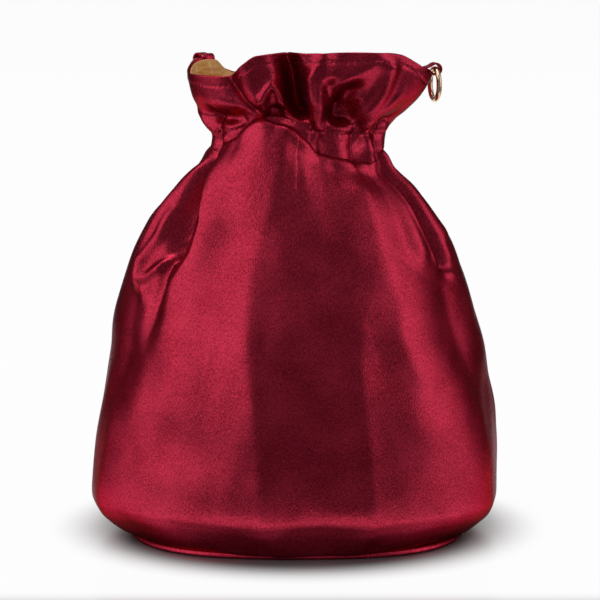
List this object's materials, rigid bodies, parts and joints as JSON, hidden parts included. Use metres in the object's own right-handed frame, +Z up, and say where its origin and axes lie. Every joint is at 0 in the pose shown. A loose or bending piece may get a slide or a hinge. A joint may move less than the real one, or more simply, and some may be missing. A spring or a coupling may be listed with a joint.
{
  "type": "potli bag",
  "caption": "Small gathered satin pouch with an oval base, a ruffled mouth on an elastic neck, a gold lining and a ring in a tab at each side.",
  "frame": {"origin": "on the floor under the middle of the oval base", "axes": "+Z up, front towards -Y, +X to the right seen from the front"},
  "size_m": [0.1886, 0.1554, 0.2237],
  "materials": {
    "satin": "maroon satin with a soft sheen",
    "gold_lining": "gold satin lining",
    "board": "plain stiff fibre board",
    "elastic": "woven elastic",
    "light_gold": "polished light gold plating"
  },
  "bodies": {
    "bag": {"front_panel": "satin", "back_panel": "satin", "base_panel": "satin", "base_board": "board", "lining_wall": "gold_lining", "lining_base": "gold_lining", "neck_elastic": "elastic", "tab_left": "satin", "tab_right": "satin"},
    "ring_left": {"ring_left": "light_gold"},
    "ring_right": {"ring_right": "light_gold"}
  },
  "joints": [
    {"name": "ring_right_swing", "type": "hinge", "parent": "bag", "child": "ring_right", "pos_m": [0.06341, 0.00335, 0.21399], "axis": [0.2504, -0.9681, 0], "range_deg": [-5, 170]},
    {"name": "ring_left_swing", "type": "hinge", "parent": "bag", "child": "ring_left", "pos_m": [-0.04473, 0.01865, 0.21754], "axis": [0.7071, 0.7071, 0], "range_deg": [-5, 170]}
  ]
}
